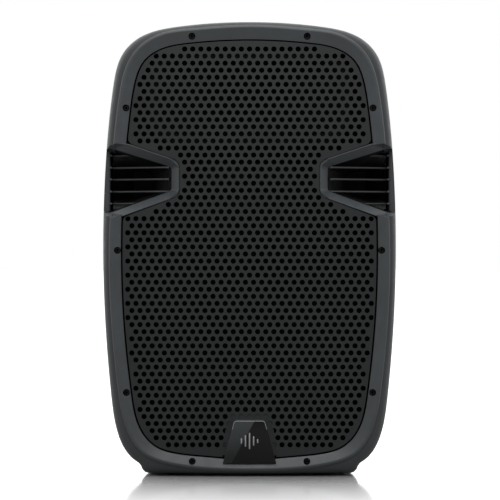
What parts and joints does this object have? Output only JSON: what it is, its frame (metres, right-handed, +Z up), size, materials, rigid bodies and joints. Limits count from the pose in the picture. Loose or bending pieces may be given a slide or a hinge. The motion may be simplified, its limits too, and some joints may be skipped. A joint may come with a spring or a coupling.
{
  "type": "pa speaker cabinet",
  "caption": "Self-powered two-way loudspeaker in a waisted moulded box, with a perforated grille, louvred side grips, slanted back and pole socket.",
  "frame": {"origin": "on the floor, under the middle of the cabinet's bounding box", "axes": "+Z up, the grille faces -Y, +X to the right when the front is looked at"},
  "size_m": [0.437, 0.36, 0.6743],
  "materials": {
    "shell_plastic": "fine textured moulded plastic, dark slate",
    "bezel_plastic": "fine textured moulded plastic, dark slate, slightly smoother than the shell",
    "grille_steel": "black-grey powder coat on perforated steel",
    "badge_gloss": "gloss black with a bright bevelled edge",
    "louvre_plastic": "satin moulded plastic",
    "pocket_plastic": "plain black moulded plastic",
    "foot_rubber": "black rubber",
    "gasket_foam": "closed-cell foam strip",
    "screw_zinc": "black zinc plate",
    "socket_plastic": "glass-filled nylon",
    "basket_paint": "black powder coat on die-cast aluminium",
    "surround_cloth": "doped cloth",
    "cone_paper": "ribbed pressed paper, black",
    "spider_cloth": "resin-dipped cloth, amber",
    "coil_copper": "copper wire on a brown former",
    "magnet_ferrite": "ceramic ferrite, matte",
    "plate_steel": "zinc-plated steel",
    "horn_plastic": "black moulded plastic",
    "driver_paint": "black paint over cast aluminium",
    "diaphragm_metal": "bright thin sheet",
    "panel_paint": "black textured powder coat with plain white ring scales",
    "sink_aluminium": "black anodised extrusion",
    "board_green": "green solder mask",
    "transformer_wrap": "amber tape over copper",
    "jack_plastic": "black nylon",
    "jack_metal": "nickel-plated shell",
    "knob_plastic": "satin black with a white pointer line",
    "button_plastic": "light grey",
    "switch_plastic": "black"
  },
  "bodies": {
    "cabinet": {"amp_board": "board_green", "amp_panel": "panel_paint", "badge": "badge_gloss", "baffle_screw_left_1": "screw_zinc", "baffle_screw_left_2": "screw_zinc", "baffle_screw_left_3": "screw_zinc", "baffle_screw_left_4": "screw_zinc", "baffle_screw_left_5": "screw_zinc", "baffle_screw_right_1": "screw_zinc", "baffle_screw_right_2": "screw_zinc", "baffle_screw_right_3": "screw_zinc", "baffle_screw_right_4": "screw_zinc", "baffle_screw_right_5": "screw_zinc", "combo_jack_a": "jack_plastic", "combo_jack_b": "jack_plastic", "compression_driver": "driver_paint", "control_board": "board_green", "foot_front_left": "foot_rubber", "foot_front_right": "foot_rubber", "foot_rear_left": "foot_rubber", "foot_rear_right": "foot_rubber", "front_baffle": "bezel_plastic", "gasket_lower": "gasket_foam", "gasket_upper": "gasket_foam", "grille": "grille_steel", "hand_pocket_left": "pocket_plastic", "hand_pocket_right": "pocket_plastic", "heat_sink": "sink_aluminium", "horn": "horn_plastic", "link_jack": "jack_metal", "louvre_left": "louvre_plastic", "louvre_right": "louvre_plastic", "mains_inlet": "jack_plastic", "panel_screw_left_lower": "screw_zinc", "panel_screw_left_upper": "screw_zinc", "panel_screw_right_lower": "screw_zinc", "panel_screw_right_upper": "screw_zinc", "pole_socket": "socket_plastic", "rear_shell": "shell_plastic", "rocker_frame": "switch_plastic", "transformer": "transformer_wrap", "woofer_basket": "basket_paint", "woofer_magnet": "magnet_ferrite", "woofer_spider": "spider_cloth", "woofer_surround": "surround_cloth", "woofer_top_plate": "plate_steel", "woofer_yoke": "plate_steel"},
    "cone": {"woofer_cone": "cone_paper", "woofer_dust_cap": "cone_paper", "woofer_voice_coil": "coil_copper"},
    "diaphragm": {"tweeter_diaphragm": "diaphragm_metal"},
    "level_a": {"knob_level_a": "knob_plastic"},
    "level_b": {"knob_level_b": "knob_plastic"},
    "bass": {"knob_bass": "knob_plastic"},
    "treble": {"knob_treble": "knob_plastic"},
    "main_level": {"knob_main": "knob_plastic"},
    "pad_a": {"pad_button_a": "button_plastic"},
    "pad_b": {"pad_button_b": "button_plastic"},
    "power_switch": {"power_rocker": "switch_plastic"},
    "fuse_holder": {"fuse_drawer": "switch_plastic"}
  },
  "joints": [
    {"name": "cone_travel", "type": "slide", "parent": "cabinet", "child": "cone", "axis": [0, -1, 0], "range_m": [-0.006, 0.006], "deforming": ["woofer_surround", "woofer_spider"]},
    {"name": "diaphragm_travel", "type": "slide", "parent": "cabinet", "child": "diaphragm", "axis": [0, -1, 0], "range_m": [-0.0003, 0.0003]},
    {"name": "level_a_turn", "type": "hinge", "parent": "cabinet", "child": "level_a", "pos_m": [-0.06, 0.165, 0.258], "axis": [0, -1, 0], "range_deg": [-150, 150]},
    {"name": "level_b_turn", "type": "hinge", "parent": "cabinet", "child": "level_b", "pos_m": [-0.03, 0.165, 0.258], "axis": [0, -1, 0], "range_deg": [-150, 150]},
    {"name": "bass_turn", "type": "hinge", "parent": "cabinet", "child": "bass", "pos_m": [0, 0.165, 0.258], "axis": [0, -1, 0], "range_deg": [-150, 150]},
    {"name": "treble_turn", "type": "hinge", "parent": "cabinet", "child": "treble", "pos_m": [0.03, 0.165, 0.258], "axis": [0, -1, 0], "range_deg": [-150, 150]},
    {"name": "main_level_turn", "type": "hinge", "parent": "cabinet", "child": "main_level", "pos_m": [0.06, 0.165, 0.258], "axis": [0, -1, 0], "range_deg": [-150, 150]},
    {"name": "pad_a_press", "type": "slide", "parent": "cabinet", "child": "pad_a", "axis": [0, -1, 0], "range_m": [0, 0.002]},
    {"name": "pad_b_press", "type": "slide", "parent": "cabinet", "child": "pad_b", "axis": [0, -1, 0], "range_m": [0, 0.002]},
    {"name": "power_tilt", "type": "hinge", "parent": "cabinet", "child": "power_switch", "pos_m": [0.052, 0.1595, 0.19], "axis": [1, 0, 0], "range_deg": [0, 24]},
    {"name": "fuse_pull", "type": "slide", "parent": "cabinet", "child": "fuse_holder", "axis": [0, 1, 0], "range_m": [0, 0.018]}
  ]
}
